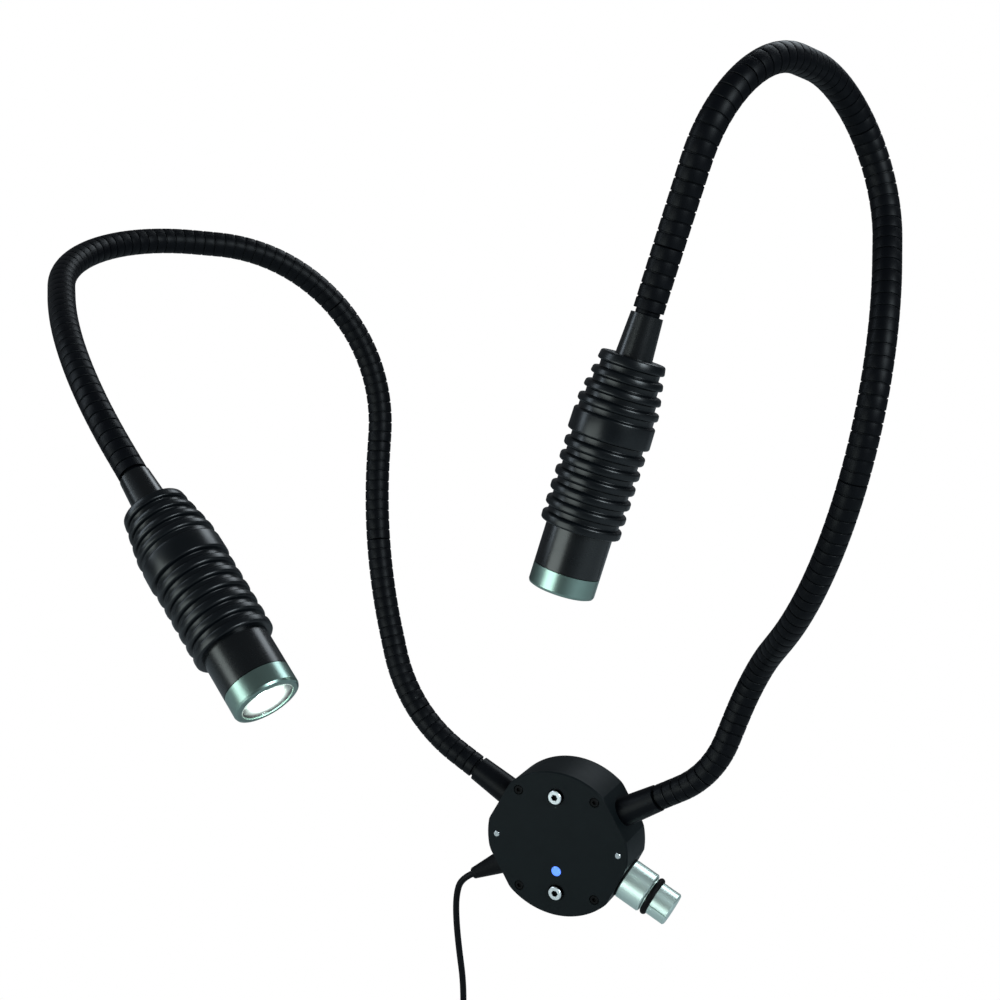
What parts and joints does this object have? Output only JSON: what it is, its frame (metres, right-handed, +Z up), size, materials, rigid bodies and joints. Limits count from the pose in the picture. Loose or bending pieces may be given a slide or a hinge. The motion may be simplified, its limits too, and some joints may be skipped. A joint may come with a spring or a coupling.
{
  "type": "gooseneck illuminator",
  "caption": "Wall or post mounted round housing with a dimmer, an indicator, a supply lead and ribbed self-standing necks that carry lamp heads.",
  "frame": {"origin": "centre of the housing's back face, midway between the mounting screws", "axes": "+Z up, +Y out of the back of the housing into what carries it, +X to the right seen from the front"},
  "size_m": [0.3843, 0.2677, 0.6159],
  "materials": {
    "black_anodised": "black anodised, fine blasted",
    "neck_black": "black baked coating, satin",
    "grip_black": "moulded black, satin",
    "bare_aluminium": "turned, bright",
    "screw_steel": "bright zinc",
    "dark_screw": "blackened",
    "pin_steel": "ground",
    "seal_rubber": "matt",
    "indicator_blue": "clear tinted",
    "led_epoxy": "clear",
    "board_green": "solder mask",
    "chip_black": "moulded",
    "pot_body": "moulded",
    "nut_brass": "nickel plated",
    "relief_black": "matt moulded",
    "lead_black": "soft PVC sheath",
    "plug_nickel": "nickel plated",
    "lens_glass": "clear",
    "board_white": "white solder mask",
    "sink_aluminium": "milled"
  },
  "bodies": {
    "housing": {"housing_body": "black_anodised", "face_plate": "black_anodised", "cover_screws": "dark_screw", "plate_pins": "pin_steel", "mounting_screws": "screw_steel", "indicator_lens": "indicator_blue", "indicator_led": "led_epoxy", "circuit_board": "board_green", "board_parts": "chip_black", "board_screws": "screw_steel", "dimmer_gasket": "seal_rubber", "dimmer_collar": "bare_aluminium", "potentiometer": "pot_body", "strain_relief": "relief_black", "relief_nut": "nut_brass", "supply_lead": "lead_black", "lead_coil": "lead_black", "lead_tie": "relief_black", "lead_tail": "lead_black", "plug_body": "relief_black", "plug_barrel": "plug_nickel", "right_neck_sleeve": "black_anodised", "right_neck_nut": "nut_brass", "left_neck_sleeve": "black_anodised", "left_neck_nut": "nut_brass"},
    "knob": {"dimmer_knob": "bare_aluminium", "knob_ring": "seal_rubber", "dimmer_shaft": "pin_steel"},
    "right_neck_1": {"right_neck_1": "neck_black"},
    "right_neck_2": {"right_neck_2": "neck_black"},
    "right_neck_3": {"right_neck_3": "neck_black"},
    "right_neck_4": {"right_neck_4": "neck_black"},
    "right_neck_5": {"right_neck_5": "neck_black"},
    "right_neck_6": {"right_neck_6": "neck_black"},
    "right_head": {"right_ferrule": "black_anodised", "right_grip": "grip_black", "right_barrel": "black_anodised", "right_bezel": "bare_aluminium", "right_lens_seal": "seal_rubber", "right_lens": "lens_glass", "right_led_board": "board_white", "right_leds": "led_epoxy", "right_heat_sink": "sink_aluminium"},
    "left_neck_1": {"left_neck_1": "neck_black"},
    "left_neck_2": {"left_neck_2": "neck_black"},
    "left_neck_3": {"left_neck_3": "neck_black"},
    "left_neck_4": {"left_neck_4": "neck_black"},
    "left_neck_5": {"left_neck_5": "neck_black"},
    "left_head": {"left_ferrule": "black_anodised", "left_grip": "grip_black", "left_barrel": "black_anodised", "left_bezel": "bare_aluminium", "left_lens_seal": "seal_rubber", "left_lens": "lens_glass", "left_led_board": "board_white", "left_leds": "led_epoxy", "left_heat_sink": "sink_aluminium"}
  },
  "joints": [
    {"name": "right_swing_1", "type": "hinge", "parent": "housing", "child": "right_neck_1", "pos_m": [0.04893, -0.0125, 0.02825], "axis": [-0.4747, 0.314, 0.8222], "range_deg": [-15, 15]},
    {"name": "right_bend_2", "type": "hinge", "parent": "right_neck_1", "child": "right_neck_2", "pos_m": [0.08266, -0.00726, 0.06601], "axis": [-0.8649, -0.3507, 0.3592], "range_deg": [-15, 15]},
    {"name": "right_swing_3", "type": "hinge", "parent": "right_neck_2", "child": "right_neck_3", "pos_m": [0.10572, -0.01726, 0.11175], "axis": [0.223, -0.6489, -0.7274], "range_deg": [-15, 15]},
    {"name": "right_bend_4", "type": "hinge", "parent": "right_neck_3", "child": "right_neck_4", "pos_m": [0.14924, -0.01926, 0.28901], "axis": [-0.9438, 0.1809, -0.2766], "range_deg": [-15, 15]},
    {"name": "right_swing_5", "type": "hinge", "parent": "right_neck_4", "child": "right_neck_5", "pos_m": [0.12099, -0.05161, 0.36424], "axis": [-0.296, -0.0717, -0.9525], "range_deg": [-15, 15]},
    {"name": "right_bend_6", "type": "hinge", "parent": "right_neck_5", "child": "right_neck_6", "pos_m": [0.09287, -0.10702, 0.32041], "axis": [0.8793, 0.3741, -0.2948], "range_deg": [-15, 15]},
    {"name": "right_head_swing", "type": "hinge", "parent": "right_neck_6", "child": "right_head", "pos_m": [0.07793, -0.11299, 0.26826], "axis": [-0.4006, 0.9157, -0.0327], "range_deg": [-15, 15]},
    {"name": "left_bend_1", "type": "hinge", "parent": "housing", "child": "left_neck_1", "pos_m": [-0.04893, -0.0125, 0.02825], "axis": [-0.2018, 0.915, -0.3495], "range_deg": [-15, 15]},
    {"name": "left_swing_2", "type": "hinge", "parent": "left_neck_1", "child": "left_neck_2", "pos_m": [-0.10255, -0.00222, 0.08612], "axis": [-0.9313, -0.0423, -0.3619], "range_deg": [-15, 15]},
    {"name": "left_bend_3", "type": "hinge", "parent": "left_neck_2", "child": "left_neck_3", "pos_m": [-0.12427, 0.02544, 0.18396], "axis": [-0.7435, 0.6337, -0.2135], "range_deg": [-15, 15]},
    {"name": "left_swing_4", "type": "hinge", "parent": "left_neck_3", "child": "left_neck_4", "pos_m": [-0.1955, -0.02214, 0.29079], "axis": [-0.6605, 0.6474, 0.3803], "range_deg": [-15, 15]},
    {"name": "left_bend_5", "type": "hinge", "parent": "left_neck_4", "child": "left_neck_5", "pos_m": [-0.20003, -0.12713, 0.27199], "axis": [0.7086, 0.2575, 0.657], "range_deg": [-15, 15]},
    {"name": "left_head_swing", "type": "hinge", "parent": "left_neck_5", "child": "left_head", "pos_m": [-0.11418, -0.18863, 0.2035], "axis": [0.0047, -0.9327, 0.3605], "range_deg": [-15, 15]},
    {"name": "dimmer_turn", "type": "hinge", "parent": "housing", "child": "knob", "pos_m": [0.049, -0.0125, -0.02497], "axis": [0.891, 0, -0.454], "range_deg": [-150, 150]}
  ]
}
